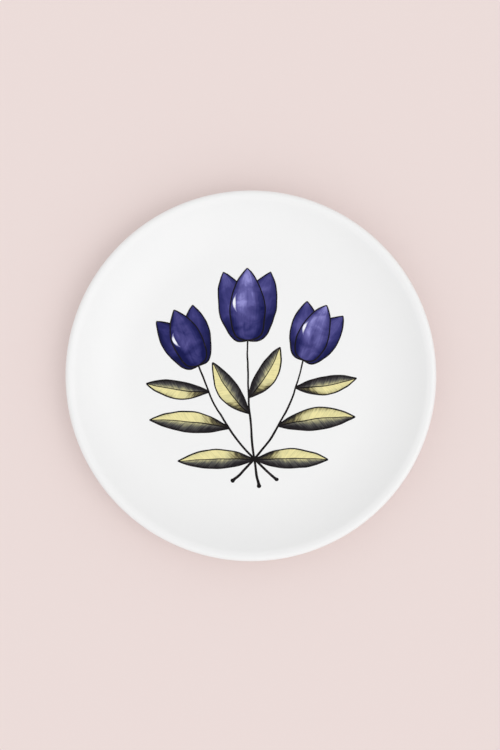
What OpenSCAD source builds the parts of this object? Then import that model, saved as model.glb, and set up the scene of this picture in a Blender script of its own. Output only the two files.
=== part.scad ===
// Round coupe serving plate. A fired clay body stands on a foot ring, a white glaze
// covers it down to the foot, and a tulip posy is painted on the flat floor.
// The plate stands on Z = 0 with its axis along Z, and the posy points along +Y.

/* [Plate] */
// Diameter over the glazed rim
plate_d = 280; // [220:1:340]
// Diameter of the flat floor
floor_d = 180; // [140:1:220]
// Thickness of the clay, the same in floor, wall and lip
clay_t = 5.6; // [4:0.1:7]
// Slope of the wall where it is steepest, in degrees
wall_slope = 36; // [25:1:45]
// Radius at which the lip turns out again, at mid thickness
lip_bend_r = 7.2; // [5:0.1:12]
// Slope at which the lip ends, in degrees
lip_slope = 6; // [0:1:15]

/* [Foot ring] */
// Height of the plate's underside above the table
foot_h = 4.5; // [3.5:0.1:8]
// Width of the ring where it stands
foot_w = 4.5; // [3:0.1:10]
// Distance from the edge of the flat floor in to the ring
foot_inset = 10; // [8:0.5:30]
// Lean of the ring's sides, in degrees
foot_draft = 12; // [2:1:25]
// Rounding of the ring's two standing edges
foot_edge_r = 0.9; // [0.4:0.1:1.2]
// Fillet between the ring and the underside
foot_fillet_r = 2.2; // [1:0.1:2.6]

/* [Glaze] */
// Thickness of the glaze
glaze_t = 0.35; // [0.2:0.05:0.6]
// Height of the bare clay band that the glaze stops above
bare_h = 1.4; // [1.2:0.1:2]

/* [Painting] */
// Bare white margin between the painting and the edge of the flat floor
painting_margin = 3; // [1:0.5:20]
// Thickness of a film of colour
paint_t = 0.12; // [0.05:0.01:0.3]
// Width of the ink outlines and midribs
ink_w = 0.9; // [0.6:0.05:1.4]
// Width of the ink stems
stem_w = 1.5; // [1:0.1:2.4]
// Length of the solid ink at the two ends of a leaf
leaf_point = 2.8; // [2.4:0.1:4]

/* [Hidden] */
$fn = 360;

// Largest gap between a curve of the section and the chords that draw it
curve_error = 0.015;

// Section of the body: centres and radii at mid thickness
floor_r = floor_d / 2;
half_t = clay_t / 2;
mid_z = foot_h + half_t;
floor_top = foot_h + clay_t;
lip_r = plate_d / 2 - glaze_t - half_t;
lip_reach = lip_bend_r * (sin(wall_slope) - sin(lip_slope));
dish_r = (lip_r - floor_r - lip_reach) / sin(wall_slope);
dish_c = [floor_r, mid_z + dish_r];
bend_c = dish_c + (dish_r + lip_bend_r) * [sin(wall_slope), -cos(wall_slope)];
lip_c = bend_c + lip_bend_r * [-sin(lip_slope), cos(lip_slope)];

// Foot ring: radii of its standing face and the place of its fillets
foot_out_r = floor_r - foot_inset;
foot_in_r = foot_out_r - foot_w;
fillet_z = foot_h - foot_fillet_r;
fillet_out = foot_side(fillet_z) + foot_fillet_r / cos(foot_draft);

ink_colour = "#1c1719";

// Painting: it is drawn in its own units, which reach to drawing_r, and set to fit the floor
drawing_r = 87;
paint_z = floor_top + glaze_t;
unit = (floor_r - painting_margin) / drawing_r;

// Stems: foot point, flower point, and how far the stem bows to its left
stems = [
    [[-14, -80], [40, 12], -9],
    [[6, -84], [-2, 27], 3],
    [[20, -79], [-40, 8], 8],
];

// Leaves: stem, share of the way up it, direction, length, bow of the left edge, bow of the right edge,
// side that is dark
leaves = [
    [2, 0.5, 174, 61, 6, 9.5, "left"],
    [0, 0.5, 7, 59, 10.5, 6, "right"],
    [1, 0.5, 126, 48, 10.5, 5, "right"],
    [1, 0.61, 58, 45, 5, 10.5, "left"],
    [1, 0.18, 181, 58, 6, 8.5, "left"],
    [1, 0.18, 0, 56, 8.5, 6, "right"],
    [2, 0.8, 172, 48, 8.5, 5, "right"],
    [0, 0.8, 9, 47, 5, 8.5, "left"],
];

// Tulips: stem that carries it, direction, length of a petal, half width of a petal
tulips = [
    ["left", 2, 114, 46, 11.5],
    ["centre", 1, 91, 55, 13.5],
    ["right", 0, 67, 45, 11.5],
];
petals = ["front_petal", "left_petal", "right_petal"];
tones = ["light", "dark", "outline"];
// Height of a petal's widest place, and radius of its round base, over its half width
petal_belly = 1.6;
petal_base = 1.05;
// Turn of the two petals behind
petal_spread = 19;
// White dab on a front petal: its start up the petal, its place over the half width, its length
// over the petal's, and the bows of its two edges
dab_start = 0.39;
dab_side = 0.62;
dab_length = 0.27;
dab_bows = [3, 1];

function leaf_name(i, tone) = str("leaf_", i, "_", tone);
function tulip_name(tulip, piece) = str("tulip_", tulip[0], "_", piece);
// Point of a stem at a share of the way from its foot to its flower
function on_stem(stem, along) =
    let (way = stem[1] - stem[0], left = [-way[1], way[0]] / norm(way))
    stem[0] + along * way + 4 * stem[2] * along * (1 - along) * left;

function tulip_foot(tulip) = stems[tulip[1]][1];
function backwards(points) = [for (i = [len(points) - 1 : -1 : 0]) points[i]];

// Points of an arc without its first one, which ends the stretch before it
function arc(c, r, from, to) =
    let (steps = ceil(abs(to - from) / (2 * acos(1 - curve_error / r))))
    [for (i = [1 : steps]) let (a = from + (to - from) * i / steps) c + r * [cos(a), sin(a)]];

// How far a side of the foot ring stands out from its standing face at a height
function foot_side(z) =
    foot_edge_r * cos(foot_draft) + (z - foot_edge_r * (1 - sin(foot_draft))) * tan(foot_draft);

// Front of the plate from its centre over the lip, grown by g
function front_line(g) = concat(
    [[0, floor_top + g], [floor_r, floor_top + g]],
    arc(dish_c, dish_r - half_t - g, -90, -90 + wall_slope),
    arc(bend_c, lip_bend_r + half_t + g, 90 + wall_slope, 90 + lip_slope),
    arc(lip_c, half_t + g, 90 + lip_slope, -90 + lip_slope)
);

// Outside of the plate from the lip to the bare band on the foot ring, grown by g
function outside_line(g) =
    let (c = [foot_out_r + fillet_out, fillet_z])
    concat(
        arc(bend_c, lip_bend_r - half_t - g, 90 + lip_slope, 90 + wall_slope),
        arc(dish_c, dish_r + half_t + g, -90 + wall_slope, -90),
        [[c[0], foot_h - g]],
        arc(c, foot_fillet_r - g, 90, 180 - foot_draft),
        [[foot_out_r + foot_side(bare_h) + g / cos(foot_draft), bare_h]]
    );

// Recess under the floor from the bare band on the foot ring to the centre, grown by g
function recess_line(g) =
    let (c = [foot_in_r - fillet_out, fillet_z], r = foot_fillet_r - g)
    concat(
        [[foot_in_r - foot_side(bare_h) - g / cos(foot_draft), bare_h]],
        [c + r * [cos(foot_draft), sin(foot_draft)]],
        arc(c, r, foot_draft, 90),
        [[0, foot_h - g]]
    );

// The bare foot ring between the two glazes
function standing_line() = concat(
    [[foot_out_r, foot_edge_r] + foot_edge_r * [cos(foot_draft), -sin(foot_draft)]],
    arc([foot_out_r, foot_edge_r], foot_edge_r, -foot_draft, -90),
    [[foot_in_r, 0]],
    arc([foot_in_r, foot_edge_r], foot_edge_r, -90, -180 + foot_draft)
);

module clay_body() {
    color("#e9e2d6")
    rotate_extrude()
    polygon(concat(front_line(0), outside_line(0), standing_line(), recess_line(0)));
}

module glaze_coat() {
    clay_line = concat(front_line(0), outside_line(0));
    color("#f6f6f6")
    rotate_extrude()
    polygon(concat(front_line(glaze_t), outside_line(glaze_t), backwards(clay_line)));
}

module base_glaze() {
    color("#f2f2f2")
    rotate_extrude()
    polygon(concat(recess_line(glaze_t), backwards(recess_line(0))));
}

// A film of colour on the floor, or on the film below it
module film(layer = 0) {
    translate([0, 0, paint_z + layer * paint_t])
    linear_extrude(paint_t)
    children();
}

// Disc whose rim runs through [0, 0] and [length, 0] and bows out between them, to the left if bow > 0
module bowed_disc(length, bow) {
    r = (length * length / 4 + bow * bow) / (2 * abs(bow));
    translate([length / 2, bow - sign(bow) * r])
    circle(r);
}

// Blade between two bowed edges that meet at [0, 0] and [length, 0]
module blade(length, left, right) {
    if (left > 0 && right < 0) {
        intersection() {
            bowed_disc(length, left);
            bowed_disc(length, right);
        }
    } else {
        difference() {
            bowed_disc(length, left > 0 ? left : right);
            bowed_disc(length, left > 0 ? right : left);
        }
    }
}

// Line of even width along an arc from one point to another
module bowed_line(from, to, bow, width) {
    span = to - from;
    length = norm(span);
    r = (length * length / 4 + bow * bow) / (2 * abs(bow));
    reach = 2 * r;
    half_turn = asin(length / 2 / r);
    middle = sign(bow) * 90;
    translate(from)
    rotate(atan2(span[1], span[0]))
    translate([length / 2, bow - sign(bow) * r])
    intersection() {
        difference() {
            circle(r + width / 2);
            circle(r - width / 2);
        }
        polygon([
            [0, 0],
            reach * [cos(middle - half_turn), sin(middle - half_turn)],
            reach * [cos(middle + half_turn), sin(middle + half_turn)],
        ]);
    }
}

// Each stem, with the round blob that the brush starts from
module stem_lines() {
    for (s = stems) {
        bowed_line(unit * s[0], unit * s[1], unit * s[2], stem_w);
        translate(unit * s[0])
        circle(stem_w);
    }
}

// Puts a leaf in its place, lying along +X from its base
module at_leaf(leaf) {
    translate(unit * on_stem(stems[leaf[0]], leaf[1]))
    rotate(leaf[2])
    children();
}

module leaf_outline(leaf) {
    at_leaf(leaf)
    blade(unit * leaf[3], unit * leaf[4], -unit * leaf[5]);
}

// The part of a leaf inside its ink, on the left or the right of its midrib
module leaf_half(leaf, side) {
    length = unit * leaf[3] - 2 * leaf_point;
    left = unit * leaf[4];
    right = unit * leaf[5];
    midrib = (left - right) / 2;
    half_rib = ink_w / 2;
    at_leaf(leaf)
    if (side == "left") {
        translate([leaf_point, half_rib])
        blade(length, left - ink_w - half_rib, midrib);
    } else {
        translate([leaf_point, -half_rib])
        blade(length, midrib, -right + ink_w + half_rib);
    }
}

module leaf_wash(leaf, tone) {
    other_side = leaf[6] == "left" ? "right" : "left";
    difference() {
        leaf_half(leaf, tone == "dark" ? leaf[6] : other_side);
        stem_lines();
    }
}

// Pointed petal with a round base at [0, 0], standing along +Y and grown by g
module petal_shape(length, half_width, g) {
    w = half_width + g;
    tip = length + 2 * g;
    belly = petal_belly * half_width;
    base = petal_base * half_width;
    side_r = (w * w + (tip - belly) * (tip - belly)) / (2 * w);
    intersection() {
        translate([w - side_r, belly])
        circle(side_r);
        translate([side_r - w, belly])
        circle(side_r);
        union() {
            translate([0, base])
            circle(base + g);
            translate([-2 * w, base])
            square([4 * w, tip]);
        }
    }
}

// Puts a petal in its place in a tulip and grows it by g
module tulip_petal(tulip, petal, g) {
    turn = petal == "front_petal" ? 0 : petal == "left_petal" ? petal_spread : -petal_spread;
    translate(unit * tulip_foot(tulip))
    rotate(tulip[2] - 90 + turn)
    petal_shape(unit * tulip[3], unit * tulip[4], g);
}

module petal_wash(tulip, petal) {
    difference() {
        tulip_petal(tulip, petal, 0);
        if (petal != "front_petal") {
            tulip_petal(tulip, "front_petal", ink_w);
        }
    }
}

// The ink of a leaf: its outline and its midrib
module leaf_ink(leaf) {
    difference() {
        leaf_outline(leaf);
        leaf_half(leaf, "left");
        leaf_half(leaf, "right");
        stem_lines();
    }
}

// The ink round a tulip's petals
module tulip_ink(tulip) {
    difference() {
        for (petal = petals) {
            tulip_petal(tulip, petal, ink_w);
        }
        for (petal = petals) {
            petal_wash(tulip, petal);
        }
    }
}

module stems() {
    color(ink_colour)
    film()
    difference() {
        stem_lines();
        for (tulip = tulips, petal = petals) {
            tulip_petal(tulip, petal, ink_w);
        }
    }
}

module leaf_piece(leaf, tone) {
    color(tone == "light" ? "#e6dca5" : tone == "dark" ? "#55564f" : ink_colour)
    film()
    if (tone == "outline") {
        leaf_ink(leaf);
    } else {
        leaf_wash(leaf, tone);
    }
}

module tulip_piece(tulip, piece) {
    color(piece == "outline" ? ink_colour : piece == "front_petal" ? "#4f4d8a" : "#3b3a74")
    film()
    if (piece == "outline") {
        tulip_ink(tulip);
    } else {
        petal_wash(tulip, piece);
    }
}

// A brush dab on the left shoulder of each front petal
module highlights() {
    color("white")
    film(1)
    for (tulip = tulips) {
        translate(unit * tulip_foot(tulip))
        rotate(tulip[2])
        translate(unit * [dab_start * tulip[3], dab_side * tulip[4]])
        blade(unit * dab_length * tulip[3], unit * dab_bows[0], unit * dab_bows[1]);
    }
}

clay_body();
glaze_coat();
base_glaze();
stems();
for (i = [1 : len(leaves)], tone = tones) {
    leaf_piece(leaves[i - 1], tone);
}
for (tulip = tulips, piece = concat(petals, ["outline"])) {
    tulip_piece(tulip, piece);
}
highlights();
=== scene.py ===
"""A white coupe serving plate with a tulip posy painted on its floor, seen from straight above.

The glaze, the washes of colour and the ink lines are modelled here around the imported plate, in its own
frame: metres, with the plate standing on Z = 0 and its axis along Z.
"""
import math

import bmesh
import bpy
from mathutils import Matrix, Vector


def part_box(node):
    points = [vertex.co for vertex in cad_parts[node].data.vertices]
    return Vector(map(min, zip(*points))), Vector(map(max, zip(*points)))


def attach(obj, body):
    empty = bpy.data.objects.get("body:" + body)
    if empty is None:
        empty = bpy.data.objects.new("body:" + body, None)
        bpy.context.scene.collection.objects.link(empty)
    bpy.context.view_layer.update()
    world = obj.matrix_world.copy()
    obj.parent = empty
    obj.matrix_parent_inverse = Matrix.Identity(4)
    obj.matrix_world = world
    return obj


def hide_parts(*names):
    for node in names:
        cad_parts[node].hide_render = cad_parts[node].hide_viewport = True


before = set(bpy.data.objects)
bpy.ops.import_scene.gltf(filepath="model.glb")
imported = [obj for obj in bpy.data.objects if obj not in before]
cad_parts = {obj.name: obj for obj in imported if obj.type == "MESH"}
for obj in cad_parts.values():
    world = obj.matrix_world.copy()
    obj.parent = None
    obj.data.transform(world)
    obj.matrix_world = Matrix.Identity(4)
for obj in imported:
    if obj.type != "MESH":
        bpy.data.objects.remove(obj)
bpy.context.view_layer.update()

MM = 0.001

# Section of the plate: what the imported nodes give
PLATE_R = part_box("glaze_coat")[1].x
GLAZE_T = PLATE_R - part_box("clay_body")[1].x
GLAZE_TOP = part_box("stems")[0].z
FOOT_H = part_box("base_glaze")[1].z
BARE_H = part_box("base_glaze")[0].z
FLOOR_TOP = GLAZE_TOP - GLAZE_T
HALF_T = (FLOOR_TOP - FOOT_H) / 2

# Section of the plate: its own radii and slopes, in degrees
FLOOR_R = 90 * MM
WALL_SLOPE = 36
LIP_BEND_R = 7.2 * MM
LIP_SLOPE = 6
FOOT_OUT_R = 80 * MM
FOOT_IN_R = 75.5 * MM
FOOT_DRAFT = 12
FOOT_EDGE_R = 0.9 * MM
FOOT_FILLET_R = 2.2 * MM

# Steps along the section's arcs and round the plate, and rings on a flat floor over its radius
DISH_STEPS = 18
BEND_STEPS = 10
LIP_STEPS = 20
FILLET_STEPS = 8
TURN_STEPS = 192
FLOOR_RINGS = (0, 0.3, 0.6, 0.85, 0.97, 1)

# Points nearer to each other than this become one
GLAZE_MERGE = 0.005 * MM
FILM_MERGE = 0.01 * MM
INK_MERGE = 0.002 * MM

# Edges that bend less than this look smooth, in degrees
GLAZE_SMOOTH = 40
INK_SMOOTH = 60

# Thickness of a wash, and of the front petals' washes, which cover the ink behind them
WASH_T = 0.05 * MM
FRONT_WASH_T = 0.14 * MM

# Ink lines: widths in mm, height over width, steps from knot to knot, and the roundness of their bevel
EDGE_W = 1.15
RIB_W = 0.9
STEM_W = 1.65
INK_FLATNESS = 0.13
INK_KNOT_STEPS = 5
INK_ROUNDNESS = 2

# Stems: foot point, flower point, and how far the stem bows to its left, in mm
STEMS = (
    ((-14, -80), (40, 12), -9),
    ((6, -84), (-2, 27), 3),
    ((20, -79), (-40, 8), 8),
)
# Width of a stem over STEM_W at shares of the way up it: a round blob first, where the brush starts
STEM_STROKE = (
    (-0.013, 0.5), (-0.009, 1.5), (0, 2.0), (0.009, 1.5), (0.02, 1.25), (0.1, 1.15), (0.3, 1.05),
    (0.5, 0.96), (0.7, 0.86), (0.85, 0.78), (1, 0.75),
)

# Leaves: stem, share of the way up it, direction, length, bow of the left edge, bow of the right edge,
# side that is dark, in mm and degrees
LEAVES = (
    (2, 0.5, 174, 61, 6, 9.5, "left"),
    (0, 0.5, 7, 59, 10.5, 6, "right"),
    (1, 0.5, 126, 48, 10.5, 5, "right"),
    (1, 0.61, 58, 45, 5, 10.5, "left"),
    (1, 0.18, 181, 58, 6, 8.5, "left"),
    (1, 0.18, 0, 56, 8.5, 6, "right"),
    (2, 0.8, 172, 48, 8.5, 5, "right"),
    (0, 0.8, 9, 47, 5, 8.5, "left"),
)
# Width of a leaf's lines over their full width at shares of the way along it
EDGE_STROKE = ((0, 1.3), (0.08, 1.0), (0.3, 0.85), (0.55, 0.95), (0.8, 1.0), (0.94, 1.0), (1, 0.9))
RIB_STROKE = ((0, 1.4), (0.1, 1.1), (0.35, 0.9), (0.7, 0.75), (1, 0.7))

# Tulips: stem that carries it, direction, length of a petal, half width of a petal, in mm and degrees
TULIPS = (
    ("left", 2, 114, 46, 11.5),
    ("centre", 1, 91, 55, 13.5),
    ("right", 0, 67, 45, 11.5),
)
# Turn of each petal from the tulip's direction, in degrees. The front petal comes last, over the others
PETAL_TURNS = {"left_petal": 19, "right_petal": -19, "front_petal": 0}
# Petal over its half width: its length, the height of its widest place, the radius of its round base
PETAL_LENGTH = 4
PETAL_BELLY = 1.6
PETAL_BASE = 1.05
# Shares of the way up a petal where its outline has a knot, and the line's width there over EDGE_W
PETAL_STROKE = (
    (0.012, 1.0), (0.05, 1.0), (0.13, 0.95), (0.25, 0.9), (0.4, 0.85), (0.6, 0.8), (0.8, 0.85),
    (0.93, 0.85), (1, 0.75),
)

# White dab on a front petal: its start up the petal, its place over the half width, its length over the
# petal's, the bow of its straighter edge and its width, in mm
DAB_START = 0.39
DAB_SIDE = 0.62
DAB_LENGTH = 0.27
DAB_BOW = 1
DAB_W = 2

# Columns and rows of the grids that half a leaf and a petal are drawn out from, and how near to its
# column a point is, over the space between two columns
HALF_LEAF_GRID = (40, 8)
PETAL_GRID = (40, 20)
COLUMN_REACH = 0.1

# Sway of the painter's hand: how far, and over what length
SWAY = 1.6 * MM
SWAY_LENGTH = 15 * MM

# Brush strokes on a leaf: their turn on its UV map, and their shift from place to place on the plate,
# so that no two leaves are alike
STROKE_SLANT = math.radians(5)
STROKE_SHIFT = 9.0

# Violet: how far left of the plate's middle it is deepest, and the middle of the pale place round a
# dab, as a share of the petal's length and half a share of its width
DEEP_TONE_AT = 60 * MM
GLOW_AT = (0.52, 0.42, 0)

# Paper: wide enough to fill low views, just under the foot ring, with a share of plain colour
PAPER_SIZE = 20
PAPER_GAP = 0.1 * MM
PLAIN_PAPER = 0.2

# Light: an even white room with two soft windows in it. Each window: azimuth and elevation of its
# middle in degrees, how steeply its glow falls off, and its strength
ROOM_LIGHT = 0.804
WINDOWS = (
    (-75, 40, 6.0, 0.39),
    (-15, 60, 20.0, 1.674),
)

# Camera: its lens and sensor in mm, then the picture's height, the plate's radius in it, and how far
# right of and below the picture's middle the plate is, in pixels
LENS = 85
SENSOR = 36
PICTURE_HEIGHT = 750
PLATE_R_IN_PIXELS = 185.41
PLATE_RIGHT_IN_PIXELS = 0.83
PLATE_DOWN_IN_PIXELS = 0.82


def start_fresh():
    """Deselects everything, so that an operator acts only on the next piece."""
    bpy.ops.object.select_all(action="DESELECT")


def polar(length, direction):
    """Flat vector of a length in a direction in degrees."""
    angle = math.radians(direction)
    return Vector((length * math.cos(angle), length * math.sin(angle)))


def arc(centre, radius, start, end, steps):
    """Points of an arc of the section without its first one, which ends the stretch before it."""
    return [centre + polar(radius, start + (end - start) * i / steps) for i in range(1, steps + 1)]


def foot_side(height, coat):
    """How far a side of the foot ring, under a coat, stands out from its standing face at a height."""
    draft = math.radians(FOOT_DRAFT)
    edge_out = FOOT_EDGE_R * math.cos(draft)
    edge_top = FOOT_EDGE_R * (1 - math.sin(draft))
    return edge_out + (height - edge_top) * math.tan(draft) + coat / math.cos(draft)


# Centres of the section's arcs, at mid thickness of the clay
LIP_R = PLATE_R - GLAZE_T - HALF_T
LIP_REACH = LIP_BEND_R * (math.sin(math.radians(WALL_SLOPE)) - math.sin(math.radians(LIP_SLOPE)))
DISH_R = (LIP_R - FLOOR_R - LIP_REACH) / math.sin(math.radians(WALL_SLOPE))
DISH_C = Vector((FLOOR_R, FOOT_H + HALF_T + DISH_R))
BEND_C = DISH_C + polar(DISH_R + LIP_BEND_R, WALL_SLOPE - 90)
LIP_C = BEND_C + polar(LIP_BEND_R, LIP_SLOPE + 90)

# Centres of the fillets outside the foot ring and inside it
FILLET_Z = FOOT_H - FOOT_FILLET_R
FILLET_OUT = foot_side(FILLET_Z, FOOT_FILLET_R)
OUT_FILLET_C = Vector((FOOT_OUT_R + FILLET_OUT, FILLET_Z))
IN_FILLET_C = Vector((FOOT_IN_R - FILLET_OUT, FILLET_Z))


def plate_line(coat):
    """The plate under a coat, from the middle of its floor over its lip to the bare band on its foot."""
    floor = [Vector((ring * FLOOR_R, FLOOR_TOP + coat)) for ring in FLOOR_RINGS]
    dish = arc(DISH_C, DISH_R - HALF_T - coat, -90, WALL_SLOPE - 90, DISH_STEPS)
    bend = arc(BEND_C, LIP_BEND_R + HALF_T + coat, WALL_SLOPE + 90, LIP_SLOPE + 90, BEND_STEPS)
    lip = arc(LIP_C, HALF_T + coat, LIP_SLOPE + 90, LIP_SLOPE - 90, LIP_STEPS)
    back_bend = arc(BEND_C, LIP_BEND_R - HALF_T - coat, LIP_SLOPE + 90, WALL_SLOPE + 90, BEND_STEPS)
    back_dish = arc(DISH_C, DISH_R + HALF_T + coat, WALL_SLOPE - 90, -90, DISH_STEPS)
    under = [Vector((OUT_FILLET_C.x, FOOT_H - coat))]
    fillet = arc(OUT_FILLET_C, FOOT_FILLET_R - coat, 90, 180 - FOOT_DRAFT, FILLET_STEPS)
    band = [Vector((FOOT_OUT_R + foot_side(BARE_H, coat), BARE_H))]
    return floor + dish + bend + lip + back_bend + back_dish + under + fillet + band


def recess_line(coat):
    """The recess under the plate, under a coat, from its middle to the bare band on the foot ring."""
    floor = [Vector((ring * IN_FILLET_C.x, FOOT_H - coat)) for ring in FLOOR_RINGS]
    fillet = arc(IN_FILLET_C, FOOT_FILLET_R - coat, 90, FOOT_DRAFT, FILLET_STEPS)
    band = [Vector((FOOT_IN_R - foot_side(BARE_H, coat), BARE_H))]
    return floor + fillet + band


def turned_coat(name, line):
    """A coat of glaze. Its section is drawn out from a point, along its face and back along the clay, and
    then spun round the plate's axis."""
    section = line(GLAZE_T) + line(0)[::-1]
    start_fresh()
    bpy.ops.mesh.primitive_plane_add(size=MM)
    piece = bpy.context.object
    piece.name = name
    bpy.ops.object.mode_set(mode="EDIT")
    bpy.ops.mesh.merge(type="CENTER")
    bpy.ops.transform.translate(value=(section[0].x, 0, section[0].y))
    for here, there in zip(section, section[1:]):
        step = there - here
        bpy.ops.mesh.extrude_region_move(TRANSFORM_OT_translate={"value": (step.x, 0, step.y)})
    bpy.ops.mesh.select_all(action="SELECT")
    bpy.ops.mesh.spin(steps=TURN_STEPS, angle=math.tau, center=(0, 0, 0), axis=(0, 0, 1))
    bpy.ops.mesh.select_all(action="SELECT")
    bpy.ops.mesh.remove_doubles(threshold=GLAZE_MERGE)
    bpy.ops.mesh.normals_make_consistent(inside=False)
    bpy.ops.object.mode_set(mode="OBJECT")
    bpy.ops.object.shade_smooth_by_angle(angle=math.radians(GLAZE_SMOOTH))
    return piece


def srgb(red, green, blue):
    """A colour given as 0 to 255 on screen, as the shader's linear colour."""
    def linear(value):
        value = value / 255
        return value / 12.92 if value <= 0.04045 else ((value + 0.055) / 1.055) ** 2.4
    return (linear(red), linear(green), linear(blue), 1)


def finish(name, roughness, specular):
    """A new material with its roughness and specular level, its node tree and its shader."""
    material = bpy.data.materials.new(name)
    material.use_nodes = True
    shader = material.node_tree.nodes["Principled BSDF"]
    shader.inputs["Roughness"].default_value = roughness
    shader.inputs["Specular IOR Level"].default_value = specular
    return material, material.node_tree, shader


def node(tree, kind, inputs, **settings):
    """A new node: each input takes a value, or a link from another node's output."""
    made = tree.nodes.new("ShaderNode" + kind)
    for key, value in settings.items():
        setattr(made, key, value)
    for key, value in inputs.items():
        if isinstance(value, bpy.types.NodeSocket):
            tree.links.new(value, made.inputs[key])
        else:
            made.inputs[key].default_value = value
    return made


def place_on_plate(tree):
    """Where a point is on the plate, in metres."""
    return node(tree, "TexCoord", {}).outputs["Object"]


def noise(tree, place, scale, detail=3, wander=0):
    """Clouds from 0 to 1: how fine they are, how many finer ones they hold, and how far they are bent."""
    inputs = {"Vector": place, "Scale": scale, "Detail": detail, "Distortion": wander}
    return node(tree, "TexNoise", inputs).outputs["Fac"]


def stretch(tree, value, low, high, to_low=0, to_high=1):
    """Maps a value from one span to another, smoothly, and stops at its ends."""
    inputs = {"Value": value, "From Min": low, "From Max": high, "To Min": to_low, "To Max": to_high}
    return node(tree, "MapRange", inputs, interpolation_type="SMOOTHSTEP").outputs["Result"]


def total(tree, *parts, start=0.0):
    """Adds up shares of several values: each part is a value and its weight."""
    value = start
    for part, weight in parts:
        inputs = {0: part, 1: weight, 2: value}
        value = node(tree, "Math", inputs, operation="MULTIPLY_ADD").outputs["Value"]
    return value


def fold(tree, value):
    """Distance of a share from its middle: 0 there, 1 at both ends."""
    spread = total(tree, (value, 2.0), start=-1.0)
    return node(tree, "Math", {0: spread}, operation="ABSOLUTE").outputs["Value"]


def blend(tree, factor, first, second):
    """Mixes two colours."""
    return node(tree, "Mix", {0: factor, 6: first, 7: second}, data_type="RGBA").outputs[2]


def ramp(tree, value, tones):
    """Colours that run on from one to the next: each tone is a share and its colour."""
    made = node(tree, "ValToRGB", {"Fac": value})
    points = made.color_ramp.elements
    for share, _ in tones[1:-1]:
        points.new(share)
    for point, (share, colour) in zip(points, tones):
        point.position = share
        point.color = colour
    return made.outputs["Color"]


def white_glaze():
    """White satin-gloss glaze, a little uneven in tone, gloss and level."""
    material, tree, shader = finish("white_glaze", roughness=0.4, specular=0.5)
    place = place_on_plate(tree)
    cool_white = (0.880, 0.880, 0.882, 1)
    warm_white = (0.897, 0.897, 0.894, 1)
    colour = blend(tree, noise(tree, place, scale=22), cool_white, warm_white)
    tree.links.new(colour, shader.inputs["Base Color"])
    gloss = stretch(tree, noise(tree, place, scale=60), low=0.3, high=0.7, to_low=0.36, to_high=0.44)
    tree.links.new(gloss, shader.inputs["Roughness"])
    ripple = noise(tree, place, scale=240, detail=2)
    bump = node(tree, "Bump", {"Strength": 0.04, "Distance": 0.2 * MM, "Height": ripple})
    tree.links.new(bump.outputs["Normal"], shader.inputs["Normal"])
    return material


def bare_clay():
    """Fired clay of the foot ring, with fine sand in it."""
    material, tree, shader = finish("bare_clay", roughness=0.85, specular=0.3)
    place = place_on_plate(tree)
    clay_tone = blend(tree, noise(tree, place, scale=70), srgb(229, 219, 202), srgb(242, 233, 220))
    sand = stretch(tree, noise(tree, place, scale=2600, detail=2), low=0.42, high=0.62)
    colour = blend(tree, sand, srgb(205, 190, 167), clay_tone)
    tree.links.new(colour, shader.inputs["Base Color"])
    grain = noise(tree, place, scale=1800)
    bump = node(tree, "Bump", {"Strength": 0.4, "Distance": 0.1 * MM, "Height": grain})
    tree.links.new(bump.outputs["Normal"], shader.inputs["Normal"])
    return material


def pale_paper():
    """Pale pink paper. A share of what the camera and reflections see of it is plain colour, so that the
    plate's shadow on it is light."""
    material, tree, shader = finish("pale_paper", roughness=0.9, specular=0.15)
    fibre = noise(tree, place_on_plate(tree), scale=900, detail=4)
    colour = blend(tree, fibre, srgb(235, 220, 217), srgb(238, 222, 219))
    tree.links.new(colour, shader.inputs["Base Color"])
    rays = node(tree, "LightPath", {}).outputs
    share = total(tree, (rays["Is Camera Ray"], PLAIN_PAPER), (rays["Is Glossy Ray"], PLAIN_PAPER))
    plain = node(tree, "Emission", {"Color": srgb(233, 218, 215)}).outputs["Emission"]
    paper = node(tree, "MixShader", {0: share, 1: shader.outputs["BSDF"], 2: plain}).outputs["Shader"]
    tree.links.new(paper, tree.nodes["Material Output"].inputs["Surface"])
    return material


def wash(name):
    """A fired wash: what finish gives, a point's coordinates, and its share along and across the patch."""
    material, tree, shader = finish(name, roughness=0.42, specular=0.1)
    coords = node(tree, "TexCoord", {}).outputs
    axes = node(tree, "SeparateXYZ", {"Vector": coords["UV"]}).outputs
    return material, tree, shader, coords, axes["X"], axes["Y"]


def strokes(tree, coords, count, breaks):
    """Brush strokes that slant forward across a patch: how many lie along it, and how often each breaks."""
    size = (1 / count, 1 / breaks, 1)
    inputs = {"Vector": coords["UV"], "Rotation": (0, 0, -STROKE_SLANT), "Scale": size}
    lines = node(tree, "Mapping", inputs, vector_type="TEXTURE").outputs["Vector"]
    inputs = {0: coords["Object"], 3: STROKE_SHIFT}
    shift = node(tree, "VectorMath", inputs, operation="SCALE").outputs["Vector"]
    shifted = node(tree, "VectorMath", {0: lines, 1: shift}, operation="ADD").outputs["Vector"]
    return stretch(tree, noise(tree, shifted, scale=1, detail=2), low=0.28, high=0.72)


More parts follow.
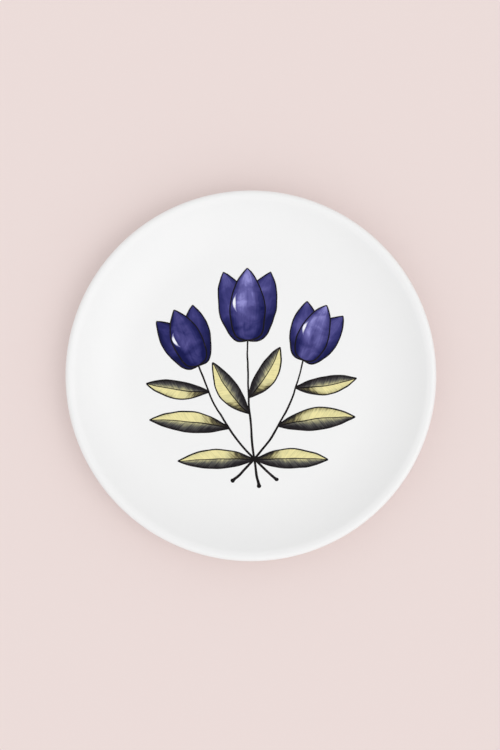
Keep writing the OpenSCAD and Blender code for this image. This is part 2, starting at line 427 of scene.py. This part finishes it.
def light_leaf_wash():
    """Pale yellow, with charcoal strokes at the leaf's base and grey ones here and there at its edge."""
    material, tree, shader, coords, along, across = wash("light_leaf_wash")
    hatch = strokes(tree, coords, count=46, breaks=1.1)
    cloud = noise(tree, coords["Object"], scale=140)
    base = stretch(tree, along, low=0.02, high=0.5)
    margin = stretch(tree, across, low=0.4, high=1)
    patch = stretch(tree, noise(tree, coords["Object"], scale=30, detail=1), low=0.4, high=0.6)
    edge = node(tree, "Math", {0: margin, 1: patch}, operation="MULTIPLY").outputs["Value"]
    shade = total(tree, (base, -0.95), (edge, 0.45), (hatch, 0.28), (cloud, 0.4), start=0.68)
    colour = ramp(tree, shade, (
        (0, srgb(239, 229, 168)),
        (0.1, srgb(230, 221, 161)),
        (0.3, srgb(214, 207, 154)),
        (0.5, srgb(172, 163, 116)),
        (0.73, srgb(89, 83, 60)),
        (1, srgb(29, 26, 28)),
    ))
    tree.links.new(colour, shader.inputs["Base Color"])
    return material


def dark_leaf_wash():
    """Black at the leaf's edge and base, thinning through charcoal to grey-green at the midrib."""
    material, tree, shader, coords, along, across = wash("dark_leaf_wash")
    hatch = strokes(tree, coords, count=42, breaks=1)
    cloud = noise(tree, coords["Object"], scale=110)
    base = stretch(tree, along, low=0.02, high=0.45)
    shade = total(tree, (across, 0.95), (base, -0.5), (hatch, 0.26), (cloud, 0.4), start=0.25)
    colour = ramp(tree, shade, (
        (0, srgb(213, 206, 155)),
        (0.24, srgb(153, 149, 118)),
        (0.5, srgb(87, 86, 82)),
        (0.8, srgb(48, 45, 48)),
        (1, srgb(29, 26, 30)),
    ))
    tree.links.new(colour, shader.inputs["Base Color"])
    return material


def petal_wash(name, tones):
    """Violet blue, mottled, deeper on the plate's left, at the petal's base and sides, pale round a dab."""
    material, tree, shader, coords, along, across = wash(name)
    side = stretch(tree, fold(tree, across), low=0.35, high=1)
    base = stretch(tree, along, low=0, high=0.8)
    lines = node(tree, "Mapping", {"Vector": coords["UV"], "Scale": (1.6, 9, 1)}).outputs["Vector"]
    brush = noise(tree, lines, scale=1.5, detail=2, wander=0.8)
    cloud = noise(tree, coords["Object"], scale=100, detail=4, wander=0.6)
    pool = noise(tree, coords["Object"], scale=26, detail=1)
    level = node(tree, "Mapping", {"Vector": coords["UV"], "Scale": (1, 0.5, 1)}).outputs["Vector"]
    away = node(tree, "VectorMath", {0: level, 1: GLOW_AT}, operation="DISTANCE").outputs["Value"]
    glow = stretch(tree, away, low=0.03, high=0.2)
    rightward = node(tree, "SeparateXYZ", {"Vector": coords["Object"]}).outputs["X"]
    lean = stretch(tree, rightward, low=-DEEP_TONE_AT, high=0)
    shade = total(
        tree,
        (side, 0.5), (base, -0.36), (brush, 0.3), (cloud, 1.1), (pool, 0.8), (glow, 0.4), (lean, -0.3),
        start=-0.61,
    )
    tree.links.new(ramp(tree, shade, tones), shader.inputs["Base Color"])
    return material


def white_dab():
    """White brushed on last, thinner at its ends, where the violet shows through."""
    material, tree, shader, coords, along, across = wash("white_dab")
    cloud = noise(tree, coords["Object"], scale=500)
    wear = total(tree, (fold(tree, along), 1), (fold(tree, across), 0.35), (cloud, 0.4))
    thin = stretch(tree, wear, low=0.5, high=1.15)
    colour = blend(tree, thin, srgb(244, 245, 254), srgb(112, 110, 168))
    tree.links.new(colour, shader.inputs["Base Color"])
    return material


def black_ink():
    """Brown-black ink, a little thinner here and there."""
    material, tree, shader = finish("ink", roughness=0.45, specular=0.1)
    thin = stretch(tree, noise(tree, place_on_plate(tree), scale=170), low=0.5, high=0.75)
    colour = blend(tree, thin, srgb(18, 14, 16), srgb(48, 39, 42))
    tree.links.new(colour, shader.inputs["Base Color"])
    return material


def settle(piece, material, slot, *nodes):
    """Gives a finished piece its material and its place on the plate, and hides the imported nodes that it
    stands for.
    """
    piece.data.materials.clear()
    piece.data.materials.append(material)
    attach(piece, "root")
    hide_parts(*nodes)


def glaze_plate():
    """The two coats of glaze, and the clay that stays bare between them on the foot ring."""
    glaze = white_glaze()
    settle(turned_coat("white_glaze_coat", plate_line), glaze, "white_glaze", "glaze_coat")
    settle(turned_coat("recess_glaze_coat", recess_line), glaze, "white_glaze", "base_glaze")
    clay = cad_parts["clay_body"]
    clay.data.materials.clear()
    clay.data.materials.append(bare_clay())


def on_bow(start, end, bow, along):
    """Point at a share of the way along a line that bows to its left."""
    way = Vector(end) - Vector(start)
    left = Vector((-way.y, way.x)).normalized()
    return Vector(start) + along * way + 4 * bow * along * (1 - along) * left


def petal_half_width(height):
    """Half width of a petal at a height, both over its greatest half width."""
    rise = PETAL_LENGTH - PETAL_BELLY
    side_r = (1 + rise ** 2) / 2
    side = math.sqrt(side_r ** 2 - (height - PETAL_BELLY) ** 2) - side_r + 1
    if height > PETAL_BASE:
        return side
    return min(side, math.sqrt(PETAL_BASE ** 2 - (height - PETAL_BASE) ** 2))


def half_leaf_outline(x):
    """A column of half a leaf: its place, the straight edge and the bowed one."""
    return x, 0, 1 - x * x


def petal_outline(x):
    """A column of a petal: its height, and its edges to both sides. Columns lie closer at both ends."""
    height = PETAL_LENGTH * (1 + math.sin(x * math.pi / 2)) / 2
    half = petal_half_width(height)
    return height, -half, half


def flat_patch(name, grid, outline):
    """A flat patch with a UV map: each column of a grid is drawn to the outline's place and edges."""
    columns, rows = grid
    start_fresh()
    bpy.ops.mesh.primitive_grid_add(x_subdivisions=columns, y_subdivisions=rows, size=2)
    patch = bpy.context.object
    patch.name = name
    bpy.ops.object.mode_set(mode="EDIT")
    space = 2 / columns
    # The last column goes first, so that none is moved onto one that is still to be picked by its place
    for i in range(columns, -1, -1):
        x = i * space - 1
        place, low, high = outline(x)
        mesh = bmesh.from_edit_mesh(patch.data)
        for vertex in mesh.verts:
            vertex.select_set(abs(vertex.co.x - x) < COLUMN_REACH * space)
        mesh.select_flush_mode()
        bmesh.update_edit_mesh(patch.data)
        bpy.ops.transform.resize(value=(1, (high - low) / 2, 1), center_override=(0, 0, 0))
        bpy.ops.transform.translate(value=(place - x, (high + low) / 2, 0))
    bpy.ops.object.mode_set(mode="OBJECT")
    return patch


def sway_texture(axis, basis):
    """Soft clouds that say how far the painter's hand is off along an axis."""
    texture = bpy.data.textures.new("sway_" + axis, "CLOUDS")
    texture.noise_scale = SWAY_LENGTH
    texture.noise_basis = basis
    texture.noise_depth = 1
    return texture


# What every painted piece is made from: the hand's sway, the flat shapes and the colours
SWAYS = {"X": sway_texture("x", "BLENDER_ORIGINAL"), "Y": sway_texture("y", "IMPROVED_PERLIN")}
HALF_LEAF = flat_patch("half_leaf", HALF_LEAF_GRID, half_leaf_outline)
PETAL = flat_patch("petal", PETAL_GRID, petal_outline)
LEAF_WASHES = {"light": light_leaf_wash(), "dark": dark_leaf_wash()}
FRONT_WASH = petal_wash("petal_wash", (
    (0, srgb(147, 144, 209)),
    (0.22, srgb(101, 98, 163)),
    (0.48, srgb(71, 68, 130)),
    (0.72, srgb(46, 46, 107)),
    (1, srgb(13, 16, 76)),
))
BACK_WASH = petal_wash("back_petal_wash", (
    (0, srgb(89, 86, 151)),
    (0.3, srgb(62, 60, 123)),
    (0.6, srgb(40, 40, 100)),
    (1, srgb(13, 16, 69)),
))
INK = black_ink()


def hand_sway(piece):
    """Shifts what is painted to and fro a little, as a hand does. Pieces side by side shift alike."""
    for axis, texture in SWAYS.items():
        shift = piece.modifiers.new("sway_" + axis, "DISPLACE")
        shift.texture = texture
        shift.texture_coords = "LOCAL"
        shift.direction = axis
        shift.strength = SWAY
        bpy.ops.object.modifier_apply(modifier=shift.name)


def copy_of(master, name):
    """A copy of a flat shape with its own mesh."""
    start_fresh()
    master.select_set(True)
    bpy.context.view_layer.objects.active = master
    bpy.ops.object.duplicate()
    piece = bpy.context.object
    piece.name = name
    return piece


def fix_place(piece):
    """Puts a piece's place, turn and size into its mesh, facing up."""
    bpy.ops.object.transform_apply(location=True, rotation=True, scale=True)
    if piece.data.polygons[0].normal.z < 0:
        bpy.ops.object.mode_set(mode="EDIT")
        bpy.ops.mesh.select_all(action="SELECT")
        bpy.ops.mesh.flip_normals()
        bpy.ops.object.mode_set(mode="OBJECT")


def bowed_patch(name, start, direction, length, bow, width):
    """Half a leaf's shape from its base point: one edge bowed to the left, the other one width further."""
    piece = copy_of(HALF_LEAF, name)
    turn = 4 * math.atan(2 * bow / length)
    arc_length = length * (turn / 2) / math.sin(turn / 2) if bow else length
    piece.scale = (arc_length / 2 * MM, width * MM, 1)
    fix_place(piece)
    bend = piece.modifiers.new("bow", "SIMPLE_DEFORM")
    bend.deform_method = "BEND"
    bend.deform_axis = "Z"
    bend.angle = -turn
    bpy.ops.object.modifier_apply(modifier="bow")
    middle = start + polar(length / 2, direction) + polar(bow, direction + 90)
    piece.location = (middle.x * MM, middle.y * MM, 0)
    piece.rotation_euler.z = math.radians(direction)
    fix_place(piece)
    return piece


def lay_film(piece, height, thickness):
    """Gives a flat patch its hand-drawn edge and its thickness, at a height over the glaze."""
    hand_sway(piece)
    bpy.ops.object.mode_set(mode="EDIT")
    bpy.ops.mesh.select_all(action="SELECT")
    bpy.ops.mesh.remove_doubles(threshold=FILM_MERGE)
    bpy.ops.transform.translate(value=(0, 0, GLAZE_TOP + height))
    bpy.ops.object.mode_set(mode="OBJECT")
    film = piece.modifiers.new("film", "SOLIDIFY")
    film.thickness = thickness
    film.offset = 1
    bpy.ops.object.modifier_apply(modifier="film")


def ink_lines(name, lines, height):
    """Brush lines as one mesh. Each line is a list of points that the brush goes through, with its width
    there, in mm."""
    start_fresh()
    bpy.ops.curve.primitive_bezier_curve_add()
    piece = bpy.context.object
    piece.name = name
    pen = piece.data
    pen.splines.clear()
    for line in lines:
        spline = pen.splines.new("BEZIER")
        spline.resolution_u = INK_KNOT_STEPS
        spline.bezier_points.add(len(line) - 1)
        for knot, (place, width) in zip(spline.bezier_points, line):
            knot.co = (place.x * MM, place.y * MM, 0)
            knot.radius = width * MM
            knot.handle_left_type = "AUTO"
            knot.handle_right_type = "AUTO"
    # A knot's radius holds the line's whole width, so the bevel takes half of it
    pen.bevel_depth = 0.5
    pen.bevel_resolution = INK_ROUNDNESS
    pen.use_fill_caps = True
    bpy.ops.object.convert(target="MESH")
    hand_sway(piece)
    bpy.ops.object.mode_set(mode="EDIT")
    bpy.ops.mesh.select_all(action="SELECT")
    bpy.ops.mesh.remove_doubles(threshold=INK_MERGE)
    bpy.ops.mesh.normals_make_consistent(inside=False)
    bpy.ops.transform.resize(value=(1, 1, INK_FLATNESS), center_override=(0, 0, 0))
    bpy.ops.transform.translate(value=(0, 0, GLAZE_TOP + height))
    bpy.ops.object.mode_set(mode="OBJECT")
    bpy.ops.object.shade_smooth_by_angle(angle=math.radians(INK_SMOOTH))
    return piece


def join(pieces):
    """Joins pieces into the first one."""
    start_fresh()
    for piece in pieces:
        piece.select_set(True)
    bpy.context.view_layer.objects.active = pieces[0]
    bpy.ops.object.join()
    return pieces[0]


def bowed_line(start, end, bow, width, stroke):
    """A brush line that bows to its left, as wide as the brush is pressed along it."""
    return [(on_bow(start, end, bow, along), width * press) for along, press in stroke]


def petal_line(foot, direction, length, half_width):
    """The brush line round a petal, from its tip round its base and back to its tip."""
    sides = []
    for side in (1, -1):
        line = []
        for share, press in PETAL_STROKE:
            out = side * half_width * petal_half_width(share * PETAL_LENGTH)
            place = foot + polar(share * length, direction) + polar(out, direction + 90)
            line.append((place, press * EDGE_W))
        sides.append(line)
    return sides[0][::-1] + [(foot, EDGE_W)] + sides[1]


def paint_stems():
    """The ink of all stems."""
    lines = [bowed_line(start, end, bow, STEM_W, STEM_STROKE) for start, end, bow in STEMS]
    settle(ink_lines("stem_ink", lines, WASH_T), INK, "ink", "stems")


def paint_leaf(number, stem, share, direction, length, left, right, dark_side):
    """A leaf: its light and its dark half, and the ink of its edges and its midrib."""
    base = on_bow(*STEMS[stem], share)
    tip = base + polar(length, direction)
    rib = (left - right) / 2
    half = (left + right) / 2
    for side, width in (("left", half), ("right", -half)):
        tone = "dark" if side == dark_side else "light"
        name = f"leaf_{number}_{tone}"
        piece = bowed_patch(name + "_wash", base, direction, length, rib, width)
        lay_film(piece, 0, WASH_T)
        settle(piece, LEAF_WASHES[tone], tone + "_leaf_wash", name)
    lines = [
        bowed_line(base, tip, left, EDGE_W, EDGE_STROKE),
        bowed_line(base, tip, -right, EDGE_W, EDGE_STROKE),
        bowed_line(base, tip, rib, RIB_W, RIB_STROKE),
    ]
    settle(ink_lines(f"leaf_{number}_ink", lines, WASH_T), INK, "ink", f"leaf_{number}_outline")


def paint_tulip(name, stem, direction, length, half_width):
    """A tulip: its three petals, and the ink round them."""
    foot = Vector(STEMS[stem][1])
    back_lines = []
    for petal, turn in PETAL_TURNS.items():
        piece = copy_of(PETAL, f"tulip_{name}_{petal}_wash")
        piece.scale = (length / PETAL_LENGTH * MM, half_width * MM, 1)
        piece.rotation_euler.z = math.radians(direction + turn)
        piece.location = (foot.x * MM, foot.y * MM, 0)
        fix_place(piece)
        if petal == "front_petal":
            lay_film(piece, 0, FRONT_WASH_T)
            settle(piece, FRONT_WASH, "petal_wash", f"tulip_{name}_{petal}")
        else:
            lay_film(piece, 0, WASH_T)
            settle(piece, BACK_WASH, "back_petal_wash", f"tulip_{name}_{petal}")
            back_lines.append(petal_line(foot, direction + turn, length, half_width))
    back_ink = ink_lines(f"tulip_{name}_ink", back_lines, WASH_T)
    front_lines = [petal_line(foot, direction, length, half_width)]
    front_ink = ink_lines(f"tulip_{name}_front_ink", front_lines, FRONT_WASH_T)
    settle(join([back_ink, front_ink]), INK, "ink", f"tulip_{name}_outline")


def paint_dabs():
    """The white dabs on the front petals."""
    dabs = []
    for name, stem, direction, length, half_width in TULIPS:
        start = Vector(STEMS[stem][1]) + polar(DAB_START * length, direction)
        start += polar(DAB_SIDE * half_width, direction + 90)
        dab = bowed_patch(f"dab_{name}", start, direction, DAB_LENGTH * length, DAB_BOW, DAB_W)
        lay_film(dab, FRONT_WASH_T, WASH_T)
        dabs.append(dab)
    dabs[0].name = "white_dabs"
    settle(join(dabs), white_dab(), "white_dab", "highlights")


def heading(azimuth, elevation):
    """Unit vector towards a place in the room."""
    flat = polar(math.cos(math.radians(elevation)), azimuth)
    return Vector((flat.x, flat.y, math.sin(math.radians(elevation))))


def light_room():
    """White walls and ceiling, with a glow that falls off round each window."""
    world = bpy.data.worlds.new("room")
    world.use_nodes = True
    tree = world.node_tree
    way = node(tree, "TexCoord", {}).outputs["Generated"]
    glows = []
    for azimuth, elevation, fall, strength in WINDOWS:
        middle = heading(azimuth, elevation)
        facing = node(tree, "VectorMath", {0: way, 1: middle}, operation="DOT_PRODUCT").outputs["Value"]
        near = node(tree, "Math", {0: facing, 1: 0.0}, operation="MAXIMUM").outputs["Value"]
        glow = node(tree, "Math", {0: near, 1: fall}, operation="POWER").outputs["Value"]
        glows.append((glow, strength))
    background = tree.nodes["Background"]
    background.inputs["Color"].default_value = (1, 1, 1, 1)
    tree.links.new(total(tree, *glows, start=ROOM_LIGHT), background.inputs["Strength"])
    bpy.context.scene.world = world


def add_camera():
    """A camera that looks straight down, so far up that the plate's lip has its size in the picture."""
    pixel = PLATE_R / PLATE_R_IN_PIXELS
    distance = pixel * PICTURE_HEIGHT * LENS / SENSOR
    start_fresh()
    bpy.ops.object.camera_add(
        location=(-PLATE_RIGHT_IN_PIXELS * pixel, PLATE_DOWN_IN_PIXELS * pixel, LIP_C.y + distance),
        rotation=(0, 0, 0),
    )
    camera = bpy.context.object
    camera.data.lens = LENS
    camera.data.sensor_width = SENSOR
    bpy.context.scene.camera = camera


# The plate, and the posy on it
glaze_plate()
paint_stems()
for number, leaf in enumerate(LEAVES, 1):
    paint_leaf(number, *leaf)
for tulip in TULIPS:
    paint_tulip(*tulip)
paint_dabs()
for master in (HALF_LEAF, PETAL):
    bpy.data.objects.remove(master)

# The paper, the light and the camera
start_fresh()
bpy.ops.mesh.primitive_plane_add(size=PAPER_SIZE, location=(0, 0, -PAPER_GAP))
floor = bpy.context.object
floor.name = "floor"
floor.data.materials.append(pale_paper())
light_room()
add_camera()
bpy.context.scene.view_settings.view_transform = "Standard"
